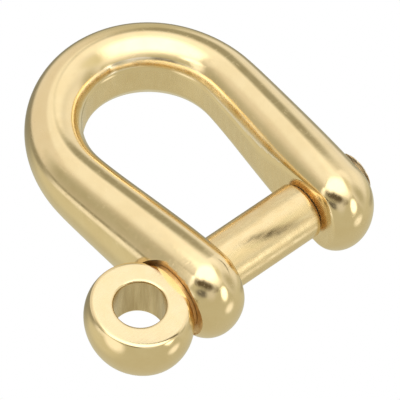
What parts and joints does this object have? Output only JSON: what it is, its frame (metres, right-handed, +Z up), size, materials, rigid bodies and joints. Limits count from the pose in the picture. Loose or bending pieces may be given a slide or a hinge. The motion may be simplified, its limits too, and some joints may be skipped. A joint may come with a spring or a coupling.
{
  "type": "screw-pin dee shackle",
  "caption": "Small polished brass dee shackle: D-shaped body with swollen ears, closed by a screw pin with a flat-sided drilled ball head.",
  "frame": {"origin": "middle of the bounding box's underside, with the shackle lying flat on a table", "axes": "+X along the pin's axis from its head towards its threaded end, +Y from the pin towards the crown of the bow, +Z up, square to the plane of the D"},
  "size_m": [0.0282, 0.0296, 0.0093],
  "materials": {
    "polished_brass": "mirror polished pale gold brass",
    "turned_brass": "turned and lightly polished pale gold brass"
  },
  "bodies": {
    "shackle": {"shackle_body": "polished_brass"},
    "pin": {"screw_pin": "turned_brass"}
  },
  "joints": [
    {"name": "pin_withdraw", "type": "slide", "parent": "shackle", "child": "pin", "axis": [-1, 0, 0], "range_m": [0, 0.022]}
  ]
}
